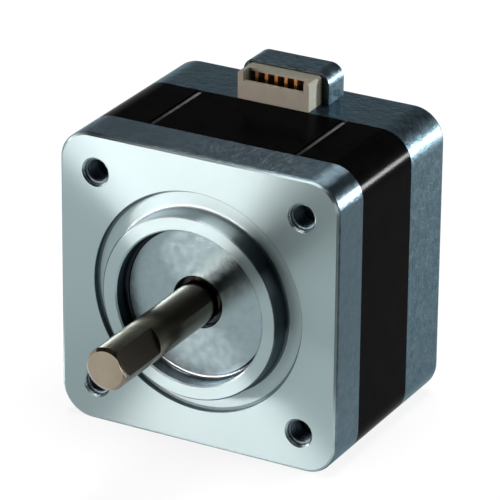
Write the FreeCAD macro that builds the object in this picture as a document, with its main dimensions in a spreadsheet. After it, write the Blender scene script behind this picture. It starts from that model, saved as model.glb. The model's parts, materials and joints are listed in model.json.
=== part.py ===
"""Small square-frame hybrid stepper motor, modelled from the mounting face.

Every piece is drawn in the motor's own face frame: x to the right, y up and z forward along the shaft,
with z = 0 on the mounting face. The placement ROW then turns the shaft to -Y and the connector to +Z.
"""
import FreeCAD, Part
import math
import os
import Sketcher

# Driving dimensions, in millimetres and degrees
SIZES = {
    # square frame
    "frame_width": 35.2,
    "frame_corner": 3.8,
    "face_edge": 0.35,
    "flange_depth": 5.6,
    "stack_depth": 11.7,
    "cover_depth": 8.7,
    "cover_edge": 0.8,
    "cover_front_edge": 0.08,
    # pilot ring on the mounting face
    "pilot_diameter": 22.0,
    "pilot_height": 2.0,
    "pilot_edge": 0.2,
    "recess_diameter": 18.4,
    "recess_depth": 2.2,
    "recess_cove": 0.4,
    "groove_diameter": 26.4,
    "groove_depth": 0.7,
    "groove_cove": 0.4,
    "shaft_hole": 6.1,
    # mounting and assembly holes
    "hole_spacing": 26.0,
    "mounting_thread": 3.0,
    "mounting_depth": 3.4,
    "mounting_countersink": 0.25,
    "screw_thread": 2.5,
    "screw_clearance": 0.15,
    "thread_clearance": 0.05,
    "screw_reach": 2.0,
    "screw_head": 4.6,
    "screw_head_height": 1.5,
    "head_clearance": 0.2,
    "head_sink": 1.8,
    "drive_span": 2.4,
    "drive_width": 0.55,
    "drive_depth": 0.8,
    # inside of the two end pieces
    "face_plate": 2.6,
    "coil_space": 30.4,
    "seat_web": 0.8,
    "seat_relief": 0.3,
    "relief_diameter": 10.8,
    "seat_wall": 1.3,
    "seat_clearance": 0.02,
    "cover_floor": 3.0,
    "washer_room": 0.6,
    "shaft_end_room": 0.9,
    "rear_dish": 15.0,
    "rear_dish_depth": 0.4,
    # shaft
    "shaft_diameter": 5.0,
    "shaft_length": 20.0,
    "shaft_edge": 0.35,
    "flat_across": 4.5,
    "flat_length": 7.6,
    "relief_width": 0.6,
    "relief_step": 0.25,
    "relief_behind_floor": 0.3,
    "shaft_tail": 0.4,
    "press_clearance": 0.01,
    # ball bearings
    "bearing_outside": 13.0,
    "bearing_width": 4.0,
    "ball_diameter": 1.96,
    "ball_pitch": 9.0,
    "race_clearance": 0.04,
    "inner_land": 7.5,
    "outer_land": 10.5,
    "cage_inside": 8.2,
    "cage_outside": 9.8,
    "cage_base": 0.5,
    "cage_height": 0.8,
    "cage_clearance": 0.07,
    "shield_thickness": 0.25,
    "shield_inset": 0.05,
    "shield_gap": 0.1,
    # rotor
    "rotor_diameter": 18.0,
    "magnet_width": 1.8,
    "magnet_diameter": 15.6,
    "rotor_margin": 0.6,
    "rotor_tooth_depth": 0.5,
    "rotor_gap_width": 0.6,
    "cup_dish": 13.0,
    "cup_hub": 7.2,
    "cup_dish_depth": 1.2,
    "spacer_diameter": 7.0,
    # stator
    "air_gap": 0.1,
    "yoke_bore": 30.0,
    "pole_neck": 3.4,
    "shoe_tip": 0.8,
    "shoe_back": 1.8,
    "shoe_span": 39.2,
    "tooth_pitch": 7.2,
    "stator_gap_width": 0.6,
    "stator_tooth_depth": 0.45,
    "seam_spacing": 18.4,
    "seam_width": 0.8,
    "seam_depth": 0.3,
    # slot insulators and windings
    "liner": 0.3,
    "liner_split": 0.05,
    "insulator_cap": 0.5,
    "insulator_wall": 0.3,
    "insulator_rim_gap": 0.15,
    "insulator_rim": 2.4,
    "insulator_lip": 0.4,
    "insulator_lip_width": 6.0,
    "winding_thickness": 1.7,
    "winding_inner_gap": 0.1,
    "winding_clearance": 0.05,
    "winding_reach": 14.1,
    "winding_corner": 1.5,
    "winding_bend": 0.2,
    # wave washer behind the rear bearing
    "washer_inside": 10.8,
    "washer_outside": 12.6,
    "washer_thickness": 0.25,
    # connector and its hood on the rear cover
    "connector_width": 9.1,
    "connector_height": 3.35,
    "connector_depth": 4.4,
    "connector_setback": 0.1,
    "connector_edge": 0.2,
    "socket_width": 7.7,
    "socket_floor": 0.9,
    "socket_roof": 0.35,
    "socket_depth": 3.2,
    "lip_height": 2.2,
    "lip_thickness": 0.5,
    "mouth_notch": 1.5,
    "pin_pitch": 1.25,
    "pin_size": 0.4,
    "pin_clearance": 0.03,
    "pin_height": 1.95,
    "blade_height": 1.9,
    "blade_length": 1.3,
    "pin_landing": 0.6,
    "hood_width": 11.0,
    "hood_height": 3.8,
    "hood_start": 3.2,
    "hood_length": 3.6,
    "hood_corner": 1.6,
    "hood_clearance": 0.1,
    # terminal board
    "board_thickness": 0.6,
    "board_inside": 16.4,
    "board_outside": 29.6,
}

POLES = 8
ROTOR_TEETH = 50
TEETH_PER_POLE = 6
BALLS = 6
PINS = 6
WASHER_WAVES = 3
POINTS_PER_WAVE = 8
CORNERS = 4

# At rest the shaft's flat is turned up from the side by this many degrees
FLAT_TURN = 24.0

# How far a cutting or joining shape runs past the face that it starts from
OVERRUN = 1.0
EMBED = 0.4

# Places, radii and volumes that differ by less than this count as the same
SAME = 1e-4


class Size:
    """A number together with the sheet formula that gives it."""

    def __init__(self, value, formula):
        self.value = float(value)
        self.formula = formula

    def __add__(self, other):
        other = as_size(other)
        return Size(self.value + other.value, f"({self.formula} + {other.formula})")

    def __sub__(self, other):
        other = as_size(other)
        return Size(self.value - other.value, f"({self.formula} - {other.formula})")

    def __mul__(self, other):
        other = as_size(other)
        return Size(self.value * other.value, f"({self.formula} * {other.formula})")

    def __truediv__(self, other):
        other = as_size(other)
        return Size(self.value / other.value, f"({self.formula} / {other.formula})")

    def __neg__(self):
        return Size(-self.value, f"(0 - {self.formula})")


def as_size(number):
    if isinstance(number, Size):
        return number
    return Size(number, f"({number!r})")


def cosine(angle):
    angle = as_size(angle)
    return Size(math.cos(math.radians(angle.value)), f"cos({angle.formula} * 1 deg)")


def sine(angle):
    angle = as_size(angle)
    return Size(math.sin(math.radians(angle.value)), f"sin({angle.formula} * 1 deg)")


def root(square):
    return Size(math.sqrt(square.value), f"sqrt({square.formula})")


class Sheet:
    """The driving dimensions, read as attributes that keep their formulas."""

    def __init__(self, document, sizes):
        cells = document.addObject("Spreadsheet::Sheet", "sizes")
        for row, (name, value) in enumerate(sizes.items(), start=1):
            cells.set(f"A{row}", name)
            cells.set(f"B{row}", str(value))
            cells.setAlias(f"B{row}", name)
            setattr(self, name, Size(value, f"sizes.{name}"))


doc = FreeCAD.newDocument("stepper_motor")
size = Sheet(doc, SIZES)
doc.recompute()

ROW = FreeCAD.Placement(FreeCAD.Vector(0, 0, 0), FreeCAD.Rotation(FreeCAD.Vector(1, 0, 0), 90))
nodes = {}


# Places that several pieces share, all along z from the mounting face

half_frame = size.frame_width / 2
flange_back = -size.flange_depth
stack_back = flange_back - size.stack_depth
stack_middle = flange_back - size.stack_depth / 2
cover_back = stack_back - size.cover_depth
recess_floor = size.pilot_height - size.recess_depth
front_bearing_face = recess_floor - size.seat_web - size.seat_relief
front_bearing_middle = front_bearing_face - size.bearing_width / 2
front_bearing_back = front_bearing_face - size.bearing_width
rotor_front = flange_back - size.rotor_margin
rotor_back = stack_back + size.rotor_margin
cup_width = (rotor_front - rotor_back - size.magnet_width) / 2
cover_inside = cover_back + size.cover_floor
rear_bearing_back = cover_inside
rear_seat_floor = rear_bearing_back - size.washer_room
rear_bearing_face = rear_bearing_back + size.bearing_width
rear_bearing_middle = rear_bearing_back + size.bearing_width / 2
hole_offset = size.hole_spacing / 2
rotor_radius = size.rotor_diameter / 2
stator_radius = rotor_radius + size.air_gap
shaft_radius = size.shaft_diameter / 2
seat_radius = size.bearing_outside / 2 + size.seat_clearance
hub_radius = seat_radius + size.seat_wall
connector_front = stack_back - size.connector_setback
connector_back = connector_front - size.connector_depth


# Drawing helpers


class Corner:
    """A corner of an outline; with a radius, an arc that turns left (1) or right (-1) leads to the next."""

    def __init__(self, x, y, radius=None, turn=1):
        self.x = as_size(x)
        self.y = as_size(y)
        self.radius = radius
        self.turn = turn


def make_body(name):
    body = doc.addObject("PartDesign::Body", name)
    body.Label = name
    nodes[name] = body
    return body


def place(piece, turn=0.0, along=None):
    """Turns a piece about the shaft axis, moves it along that axis and puts it in the row frame."""
    spin = FreeCAD.Placement(FreeCAD.Vector(0, 0, 0), FreeCAD.Rotation(FreeCAD.Vector(0, 0, 1), turn))
    piece.Placement = ROW.multiply(spin)
    if along is not None:
        piece.setExpression("Placement.Base.y", (-along).formula)


def origin_plane(body, role):
    return next(item for item in body.Origin.OriginFeatures if item.Role == role)


def make_sketch(body, name, plane="XY_Plane", offset=None):
    sketch = body.newObject("Sketcher::SketchObject", name)
    sketch.AttachmentSupport = [(origin_plane(body, plane), "")]
    sketch.MapMode = "FlatFace"
    if offset is not None:
        sketch.setExpression("AttachmentOffset.Base.z", offset.formula)
    return sketch


def hold_point(sketch, geometry, point, x, y):
    """Ties one point of a sketch to its two coordinates."""
    for kind, axis, place_value in (("DistanceX", -2, x), ("DistanceY", -1, y)):
        if abs(place_value.value) < SAME:
            sketch.addConstraint(Sketcher.Constraint("PointOnObject", geometry, point, axis))
        elif place_value.value > 0:
            tie = Sketcher.Constraint(kind, -1, 1, geometry, point, place_value.value)
            bind(sketch, sketch.addConstraint(tie), place_value)
        else:
            tie = Sketcher.Constraint(kind, geometry, point, -1, 1, -place_value.value)
            bind(sketch, sketch.addConstraint(tie), -place_value)


def bind(sketch, constraint, value):
    sketch.setExpression(f"Constraints[{constraint}]", value.formula)


def arc_between(start, end, radius, turn):
    """The minor arc from start to end whose centre lies on the side that it turns to."""
    chord = end - start
    middle = start + chord * 0.5
    reach = math.sqrt(max(radius * radius - chord.Length * chord.Length / 4.0, 0.0))
    left = FreeCAD.Vector(-chord.y, chord.x, 0).normalize()
    centre = middle + left * (reach * turn)
    angles = [math.atan2(point.y - centre.y, point.x - centre.x) for point in (start, end)]
    if turn < 0:
        angles.reverse()
    circle = Part.Circle(centre, FreeCAD.Vector(0, 0, 1), radius)
    return Part.ArcOfCircle(circle, angles[0], angles[1])


def add_outline(sketch, corners):
    """A closed outline of lines and arcs, with every corner held by its own formulas."""
    first = sketch.GeometryCount
    count = len(corners)
    ends = []
    for index, corner in enumerate(corners):
        after = corners[(index + 1) % count]
        start = FreeCAD.Vector(corner.x.value, corner.y.value, 0)
        end = FreeCAD.Vector(after.x.value, after.y.value, 0)
        if corner.radius is None:
            sketch.addGeometry(Part.LineSegment(start, end))
            ends.append((1, 2))
        else:
            sketch.addGeometry(arc_between(start, end, corner.radius.value, corner.turn))
            ends.append((1, 2) if corner.turn > 0 else (2, 1))
    for index, corner in enumerate(corners):
        follower = (index + 1) % count
        meet = Sketcher.Constraint(
            "Coincident", first + index, ends[index][1], first + follower, ends[follower][0]
        )
        sketch.addConstraint(meet)
        hold_point(sketch, first + index, ends[index][0], corner.x, corner.y)
        if corner.radius is not None:
            tie = Sketcher.Constraint("Radius", first + index, corner.radius.value)
            bind(sketch, sketch.addConstraint(tie), corner.radius)


def add_circle(sketch, radius, x=0, y=0):
    x = as_size(x)
    y = as_size(y)
    centre = FreeCAD.Vector(x.value, y.value, 0)
    geometry = sketch.addGeometry(Part.Circle(centre, FreeCAD.Vector(0, 0, 1), radius.value))
    hold_point(sketch, geometry, 3, x, y)
    tie = Sketcher.Constraint("Radius", geometry, radius.value)
    bind(sketch, sketch.addConstraint(tie), radius)


def add_rectangle(sketch, left, right, low, high):
    add_outline(sketch, [Corner(left, low), Corner(right, low), Corner(right, high), Corner(left, high)])


def add_radial_box(sketch, angle, half_width, inner, outer):
    """A rectangle that lies along the radius at an angle."""
    across = cosine(angle)
    up = sine(angle)
    low = -half_width
    corners = []
    for reach, side in ((inner, low), (outer, low), (outer, half_width), (inner, half_width)):
        corners.append(Corner(reach * across - side * up, reach * up + side * across))
    add_outline(sketch, corners)


def quarter_turns(side):
    """Repeats the corners of one side of a square on its other three sides."""
    outline = []
    for _ in range(CORNERS):
        outline.extend(side)
        side = [Corner(-corner.y, corner.x, corner.radius) for corner in side]
    return outline


def rounded_square(half, radius):
    """A square with rounded corners, anticlockwise from the foot of its right side."""
    straight = half - radius
    return quarter_turns([Corner(half, -straight), Corner(half, straight, radius)])


def extrude(body, kind, name, sketch, length=None, backwards=False):
    """A Pad or Pocket along the sketch's normal; without a length it goes through everything."""
    feature = body.newObject(f"PartDesign::{kind}", name)
    feature.Profile = sketch
    feature.Reversed = backwards
    if length is None:
        feature.Type = "ThroughAll"
    else:
        feature.Length = length.value
        feature.setExpression("Length", length.formula)
    doc.recompute()
    return feature


def revolve(body, kind, name, sketch):
    """A Revolution or Groove of a profile about the shaft axis."""
    feature = body.newObject(f"PartDesign::{kind}", name)
    feature.Profile = sketch
    feature.ReferenceAxis = (sketch, ["V_Axis"])
    feature.Angle = 360.0
    doc.recompute()
    return feature


def repeat_round(body, name, features, count):
    """Repeats features round the shaft axis."""
    pattern = body.newObject("PartDesign::PolarPattern", name)
    pattern.Originals = features
    axis = next(item for item in body.Origin.OriginFeatures if item.Role == "Z_Axis")
    pattern.Axis = (axis, [""])
    pattern.Angle = 360.0
    pattern.Occurrences = count
    body.Tip = pattern
    doc.recompute()
    return pattern


def break_edges(body, kind, name, amount, wanted):
    """A Chamfer or Fillet on the edges of the body's last feature that the test picks."""
    base = body.Tip
    names = [f"Edge{number}" for number, edge in enumerate(base.Shape.Edges, start=1) if wanted(edge)]
    feature = body.newObject(f"PartDesign::{kind}", name)
    feature.Base = (base, names)
    target = "Size" if kind == "Chamfer" else "Radius"
    setattr(feature, target, amount.value)
    feature.setExpression(target, amount.formula)
    doc.recompute()
    return feature


def lies_at(edge, z):
    box = edge.BoundBox
    return abs(box.ZMin - z.value) < SAME and abs(box.ZMax - z.value) < SAME


def corner_holes(body, name, radius, offset, depth=None, backwards=False):
    """One hole per corner of the frame, on the square of the mounting holes."""
    sketch = make_sketch(body, f"{name}_outline", offset=offset)
    add_circle(sketch, radius, hole_offset, hole_offset)
    hole = extrude(body, "Pocket", name, sketch, depth, backwards)
    repeat_round(body, f"{name}s", [hole], CORNERS)


# Front flange: mounting face, pilot ring, bearing seat and corner threads


def make_front_flange():
    body = make_body("front_flange")
    outline = make_sketch(body, "flange_outline")
    add_outline(outline, rounded_square(half_frame, size.frame_corner))
    extrude(body, "Pad", "flange_block", outline, size.flange_depth, backwards=True)
    break_edges(body, "Chamfer", "face_edges", size.face_edge, lambda edge: lies_at(edge, as_size(0)))

    groove = make_sketch(body, "face_groove_profile", "XZ_Plane")
    groove_inner = size.recess_diameter / 2
    groove_outer = size.groove_diameter / 2
    add_rectangle(groove, groove_inner, groove_outer, -size.groove_depth, as_size(OVERRUN))
    revolve(body, "Groove", "face_groove", groove)
    add_pilot_ring(body)

    recess = make_sketch(body, "recess_profile", "XZ_Plane")
    floor_radius = size.recess_diameter / 2 - size.recess_cove
    top = as_size(OVERRUN) + size.pilot_height
    rim = size.recess_diameter / 2
    add_outline(
        recess,
        [
            Corner(0, recess_floor),
            Corner(floor_radius, recess_floor, size.recess_cove, 1),
            Corner(rim, recess_floor + size.recess_cove),
            Corner(rim, size.pilot_height - size.pilot_edge),
            Corner(rim + size.pilot_edge, size.pilot_height),
            Corner(rim + size.pilot_edge, top),
            Corner(0, top),
        ],
    )
    revolve(body, "Groove", "recess", recess)

    inside = make_sketch(body, "flange_inside_profile", "XZ_Plane")
    seat_step = front_bearing_face + size.seat_relief
    coil_space = size.coil_space / 2
    behind = flange_back - OVERRUN
    add_outline(
        inside,
        [
            Corner(0, behind),
            Corner(coil_space, behind),
            Corner(coil_space, -size.face_plate),
            Corner(hub_radius, -size.face_plate),
            Corner(hub_radius, front_bearing_back),
            Corner(seat_radius, front_bearing_back),
            Corner(seat_radius, front_bearing_face),
            Corner(size.relief_diameter / 2, front_bearing_face),
            Corner(size.relief_diameter / 2, seat_step),
            Corner(0, seat_step),
        ],
    )
    revolve(body, "Groove", "flange_inside", inside)

    bore = make_sketch(body, "shaft_hole_outline", offset=size.pilot_height)
    add_circle(bore, size.shaft_hole / 2)
    extrude(body, "Pocket", "shaft_hole", bore)
    corner_holes(body, "screw_thread", size.screw_thread / 2, as_size(0))
    corner_holes(body, "mounting_thread", size.mounting_thread / 2, as_size(0), size.mounting_depth)
    mouth = size.mounting_thread.value / 2

    def is_mouth(edge):
        round_edge = isinstance(edge.Curve, Part.Circle) and abs(edge.Curve.Radius - mouth) < SAME
        return round_edge and lies_at(edge, as_size(0))

    break_edges(body, "Chamfer", "mounting_mouths", size.mounting_countersink, is_mouth)
    place(body)


def add_pilot_ring(body):
    """The raised ring that centres the motor, with a cove at its foot outside."""
    wall = size.pilot_diameter / 2
    foot = size.groove_cove - size.groove_depth
    inner = size.recess_diameter / 2 - size.recess_cove
    bottom = -size.groove_depth - EMBED
    ring = make_sketch(body, "pilot_ring_profile", "XZ_Plane")
    add_outline(
        ring,
        [
            Corner(inner, bottom),
            Corner(wall + size.groove_cove, bottom),
            Corner(wall + size.groove_cove, -size.groove_depth, size.groove_cove, -1),
            Corner(wall, foot),
            Corner(wall, size.pilot_height - size.pilot_edge),
            Corner(wall - size.pilot_edge, size.pilot_height),
            Corner(inner, size.pilot_height),
        ],
    )
    revolve(body, "Revolution", "pilot_ring", ring)


# Rear cover: bearing seat, coil space, screw heads and the connector's hood


def make_rear_cover():
    body = make_body("rear_cover")
    outline = make_sketch(body, "cover_outline", offset=stack_back)
    add_outline(outline, rounded_square(half_frame, size.frame_corner))
    extrude(body, "Pad", "cover_block", outline, size.cover_depth, backwards=True)
    break_edges(body, "Fillet", "rear_edges", size.cover_edge, lambda edge: lies_at(edge, cover_back))
    break_edges(
        body, "Chamfer", "front_edges", size.cover_front_edge, lambda edge: lies_at(edge, stack_back)
    )

    inside = make_sketch(body, "cover_inside_profile", "XZ_Plane")
    coil_space = size.coil_space / 2
    ahead = stack_back + OVERRUN
    end_room = shaft_radius + size.shaft_end_room
    add_outline(
        inside,
        [
            Corner(0, rear_seat_floor - size.shaft_end_room),
            Corner(end_room, rear_seat_floor - size.shaft_end_room),
            Corner(end_room, rear_seat_floor),
            Corner(seat_radius, rear_seat_floor),
            Corner(seat_radius, rear_bearing_face),
            Corner(hub_radius, rear_bearing_face),
            Corner(hub_radius, cover_inside),
            Corner(coil_space, cover_inside),
            Corner(coil_space, ahead),
            Corner(0, ahead),
        ],
    )
    revolve(body, "Groove", "cover_inside", inside)

    dish = make_sketch(body, "rear_dish_outline", offset=cover_back)
    add_circle(dish, size.rear_dish / 2)
    extrude(body, "Pocket", "rear_dish", dish, size.rear_dish_depth, backwards=True)
    corner_holes(body, "screw_hole", size.screw_thread / 2 + size.screw_clearance, stack_back)
    head_room = size.screw_head / 2 + size.head_clearance
    corner_holes(body, "head_room", head_room, cover_back, size.head_sink, backwards=True)
    add_hood(body)
    place(body)


def add_hood(body):
    """The open-fronted hood, whose mouth holds the back of the connector."""
    half = size.hood_width / 2
    top = half_frame + size.hood_height
    round_start = half - size.hood_corner
    front = stack_back - size.hood_start
    outline = make_sketch(body, "hood_outline", offset=front)
    add_outline(
        outline,
        [
            Corner(-half, half_frame - EMBED),
            Corner(half, half_frame - EMBED),
            Corner(half, top - size.hood_corner, size.hood_corner),
            Corner(round_start, top),
            Corner(-round_start, top, size.hood_corner),
            Corner(-half, top - size.hood_corner),
        ],
    )
    extrude(body, "Pad", "hood", outline, size.hood_length, backwards=True)

    mouth = make_sketch(body, "hood_mouth_outline", offset=front)
    mouth_half = size.connector_width / 2 + size.hood_clearance
    mouth_top = half_frame + size.connector_height + size.hood_clearance
    add_rectangle(mouth, -mouth_half, mouth_half, half_frame, mouth_top)
    extrude(body, "Pocket", "hood_mouth", mouth, front - connector_back + size.hood_clearance)

    slot = make_sketch(body, "pin_slot_outline", offset=connector_back)
    slot_half = size.pin_pitch * (PINS / 2)
    slot_top = half_frame + size.pin_height + size.pin_size
    add_rectangle(slot, -slot_half, slot_half, size.coil_space / 2 - OVERRUN, slot_top)
    extrude(body, "Pocket", "pin_slot", slot, connector_back - cover_inside)


# Stator core: lamination stack with notches for its weld seams and toothed poles


def make_stator_core():
    body = make_body("stator_core")
    outline = make_sketch(body, "yoke_outline", offset=flange_back)
    add_outline(outline, rounded_square(half_frame, size.frame_corner))
    add_circle(outline, size.yoke_bore / 2)
    extrude(body, "Pad", "yoke", outline, size.stack_depth, backwards=True)
    corner_holes(body, "screw_hole", size.screw_thread / 2 + size.screw_clearance, flange_back)
    add_seam_notches(body)

    pole_outline = make_sketch(body, "pole_outline", offset=flange_back)
    add_outline(pole_outline, pole_corners())
    pole = extrude(body, "Pad", "pole", pole_outline, size.stack_depth, backwards=True)
    gap_outline = make_sketch(body, "tooth_gap_outlines", offset=flange_back)
    for gap in range(TEETH_PER_POLE - 1):
        angle = size.tooth_pitch * (gap - (TEETH_PER_POLE - 2) / 2) + 90
        outer = stator_radius + size.stator_tooth_depth
        add_radial_box(gap_outline, angle, size.stator_gap_width / 2, stator_radius - EMBED, outer)
    gaps = extrude(body, "Pocket", "tooth_gaps", gap_outline)
    repeat_round(body, "poles", [pole, gaps], POLES)
    place(body)


def add_seam_notches(body):
    """Two shallow notches along the top and two along the bottom, where the sheets are welded together."""
    outline = make_sketch(body, "seam_notch_outlines", offset=flange_back)
    left = (size.seam_spacing - size.seam_width) / 2
    right = (size.seam_spacing + size.seam_width) / 2
    low = half_frame - size.seam_depth
    high = half_frame + OVERRUN
    add_rectangle(outline, left, right, low, high)
    add_rectangle(outline, -right, -left, low, high)
    notches = extrude(body, "Pocket", "seam_notch_pair", outline)
    repeat_round(body, "seam_notches", [notches], 2)


def pole_corners():
    """One pole: a parallel neck and a shoe that follows the rotor."""
    neck = size.pole_neck / 2
    top = size.yoke_bore / 2 + EMBED
    back = stator_radius + size.shoe_back
    half_span = size.shoe_span / 2
    tip = (stator_radius * sine(half_span), stator_radius * cosine(half_span))
    outer_radius = stator_radius + size.shoe_tip
    heel = (outer_radius * sine(half_span), outer_radius * cosine(half_span))
    return [
        Corner(neck, top),
        Corner(-neck, top),
        Corner(-neck, back),
        Corner(-heel[0], heel[1]),
        Corner(-tip[0], tip[1], stator_radius, -1),
        Corner(tip[0], tip[1]),
        Corner(heel[0], heel[1]),
        Corner(neck, back),
    ]


# Slot insulators and windings


def make_insulator(name, at_rear):
    """A moulded ring with a cap, liners and a lip for each pole, drawn for the front of the stack."""
    body = make_body(name)
    rim_outer = size.yoke_bore / 2 - size.insulator_rim_gap
    rim_inner = rim_outer - size.insulator_wall
    rim = make_sketch(body, "rim_outline", offset=flange_back)
    add_circle(rim, rim_outer)
    add_circle(rim, rim_inner)
    extrude(body, "Pad", "rim", rim, size.insulator_rim)

    half = size.pole_neck / 2 + size.liner
    inner = stator_radius + size.shoe_back
    cap_outline = make_sketch(body, "cap_outline", offset=flange_back)
    add_rectangle(cap_outline, -half, half, inner, rim_inner + size.insulator_wall / 2)
    cap = extrude(body, "Pad", "cap", cap_outline, size.insulator_cap)
    lip_outline = make_sketch(body, "lip_outline", offset=flange_back)
    lip_half = size.insulator_lip_width / 2
    add_rectangle(lip_outline, -lip_half, lip_half, inner, inner + size.insulator_lip)
    lip = extrude(body, "Pad", "lip", lip_outline, size.insulator_rim)
    liner_outline = make_sketch(body, "liner_outline", offset=flange_back + size.insulator_cap)
    neck = size.pole_neck / 2
    add_rectangle(liner_outline, neck, half, inner, size.winding_reach)
    add_rectangle(liner_outline, -half, -neck, inner, size.winding_reach)
    liner_depth = size.stack_depth / 2 + size.insulator_cap - size.liner_split
    liner = extrude(body, "Pad", "liners", liner_outline, liner_depth, backwards=True)
    repeat_round(body, "pole_insulation", [cap, lip, liner], POLES)
    place(body)
    if at_rear:
        flip = FreeCAD.Placement(FreeCAD.Vector(0, 0, 0), FreeCAD.Rotation(FreeCAD.Vector(0, 1, 0), 180))
        body.Placement = ROW.multiply(flip)
        body.setExpression("Placement.Base.y", (-stack_middle * 2).formula)


def make_winding(number):
    """One coil wound round a pole neck, drawn on the upper pole and turned to its own."""
    body = make_body(f"winding_{number}")
    start = stator_radius + size.shoe_back + size.insulator_lip + size.winding_inner_gap
    inside_x = size.pole_neck / 2 + size.liner + size.winding_clearance
    inside_z = size.stack_depth / 2 + size.insulator_cap + size.winding_clearance
    outside_x = inside_x + size.winding_thickness
    outside_z = inside_z + size.winding_thickness
    loop = make_sketch(body, "loop_outline", "XZ_Plane", offset=-start)
    add_outline(loop, rounded_window(outside_x, outside_z, size.winding_corner))
    add_outline(loop, rounded_window(inside_x, inside_z, size.winding_bend))
    extrude(body, "Pad", "loop", loop, size.winding_reach - start, backwards=True)
    place(body, turn=360.0 / POLES * (number - 1))


def rounded_window(half_x, half_z, corner):
    """A rounded rectangle centred on the middle of the stack."""
    low = stack_middle - half_z
    high = stack_middle + half_z
    return [
        Corner(half_x - corner, low, corner),
        Corner(half_x, low + corner),
        Corner(half_x, high - corner, corner),
        Corner(half_x - corner, high),
        Corner(-half_x + corner, high, corner),
        Corner(-half_x, high - corner),
        Corner(-half_x, low + corner, corner),
        Corner(-half_x + corner, low),
    ]


# Rotor: shaft, toothed cups, magnet and spacers


def make_shaft():
    body = make_body("shaft")
    tip = size.shaft_length
    relief_front = recess_floor - size.relief_behind_floor
    relief_back = relief_front - size.relief_width
    relief_radius = shaft_radius - size.relief_step
    end = rear_bearing_back - size.shaft_tail
    profile = make_sketch(body, "shaft_profile", "XZ_Plane")
    add_outline(
        profile,
        [
            Corner(0, end),
            Corner(shaft_radius - size.shaft_edge, end),
            Corner(shaft_radius, end + size.shaft_edge),
            Corner(shaft_radius, relief_back),
            Corner(relief_radius, relief_back),
            Corner(relief_radius, relief_front),
            Corner(shaft_radius, relief_front),
            Corner(shaft_radius, tip - size.shaft_edge),
            Corner(shaft_radius - size.shaft_edge, tip),
            Corner(0, tip),
        ],
    )
    revolve(body, "Revolution", "shaft_bar", profile)
    flat = make_sketch(body, "flat_outline", offset=tip)
    flat_x = size.flat_across - shaft_radius
    add_rectangle(flat, flat_x, size.shaft_diameter, -size.shaft_diameter, size.shaft_diameter)
    extrude(body, "Pocket", "shaft_flat", flat, size.flat_length)
    place(body, turn=FLAT_TURN)


def make_rotor_cup(name, front, turn, dish_at_front):
    """A toothed iron cup, with a shallow dish in its outer face."""
    body = make_body(name)
    bore = shaft_radius + size.press_clearance
    disc = make_sketch(body, "cup_outline", offset=front)
    add_circle(disc, rotor_radius)
    add_circle(disc, bore)
    extrude(body, "Pad", "cup", disc, cup_width, backwards=True)
    gap_outline = make_sketch(body, "tooth_gap_outline", offset=front)
    root_radius = rotor_radius - size.rotor_tooth_depth
    add_radial_box(gap_outline, 90, size.rotor_gap_width / 2, root_radius, rotor_radius + EMBED)
    gap = extrude(body, "Pocket", "tooth_gap", gap_outline)
    repeat_round(body, "teeth", [gap], ROTOR_TEETH)
    dish_face = front if dish_at_front else front - cup_width
    dish_outline = make_sketch(body, "dish_outline", offset=dish_face)
    add_circle(dish_outline, size.cup_dish / 2)
    add_circle(dish_outline, size.cup_hub / 2)
    extrude(body, "Pocket", "dish", dish_outline, size.cup_dish_depth, backwards=not dish_at_front)
    place(body, turn=turn)


def make_sleeve(name, outer, front, length):
    """A plain ring on the shaft."""
    body = make_body(name)
    outline = make_sketch(body, "ring_outline", offset=front)
    add_circle(outline, outer)
    add_circle(outline, shaft_radius + size.press_clearance)
    extrude(body, "Pad", "ring", outline, length, backwards=True)
    place(body)


def make_rotor():
    make_shaft()
    tooth_angle = 360.0 / ROTOR_TEETH
    magnet_front = rotor_front - cup_width
    make_rotor_cup("front_rotor_cup", rotor_front, 0.0, True)
    make_rotor_cup("rear_rotor_cup", magnet_front - size.magnet_width, tooth_angle / 2, False)
    make_sleeve("rotor_magnet", size.magnet_diameter / 2, magnet_front, size.magnet_width)
    spacer = size.spacer_diameter / 2
    make_sleeve("front_spacer", spacer, front_bearing_back, front_bearing_back - rotor_front)
    make_sleeve("rear_spacer", spacer, rotor_back, rotor_back - rear_bearing_face)


# Ball bearings


def make_race(name, land, plain, middle):
    """A bearing ring: a plain wall on one side and a ball groove in its land on the other."""
    body = make_body(name)
    half = size.bearing_width / 2
    groove = size.ball_diameter / 2 + size.race_clearance
    drop = size.ball_pitch / 2 - land
    reach = root(groove * groove - drop * drop)
    turn = 1 if land.value > plain.value else -1
    profile = make_sketch(body, "ring_profile", "XZ_Plane")
    add_outline(
        profile,
        [
            Corner(plain, -half),
            Corner(land, -half),
            Corner(land, -reach, groove, -turn),
            Corner(land, reach),
            Corner(land, half),
            Corner(plain, half),
        ],
    )
    revolve(body, "Revolution", "ring", profile)
    place(body, along=middle)


def make_shield(name, middle, outwards):
    """A thin shield that closes one face of a bearing, carried by its outer ring."""
    body = make_body(name)
    edge = size.bearing_width / 2 - size.shield_inset
    low = edge - size.shield_thickness
    start = edge if outwards else -low
    outline = make_sketch(body, "shield_outline", offset=start)
    add_circle(outline, size.outer_land / 2)
    add_circle(outline, size.inner_land / 2 + size.shield_gap)
    extrude(body, "Pad", "shield", outline, size.shield_thickness, backwards=True)
    place(body, along=middle)


def make_cage(name, middle):
    """A crown cage whose scallops hold the balls apart."""
    body = make_body(name)
    outline = make_sketch(body, "cage_outline", offset=size.cage_base)
    add_circle(outline, size.cage_outside / 2)
    add_circle(outline, size.cage_inside / 2)
    extrude(body, "Pad", "crown", outline, size.cage_height)
    scallop_outline = make_sketch(body, "scallop_outline", "XZ_Plane")
    add_circle(scallop_outline, size.ball_diameter / 2 + size.cage_clearance)
    scallop = extrude(body, "Pocket", "scallop", scallop_outline)
    repeat_round(body, "scallops", [scallop], BALLS)
    place(body, along=middle)


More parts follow.
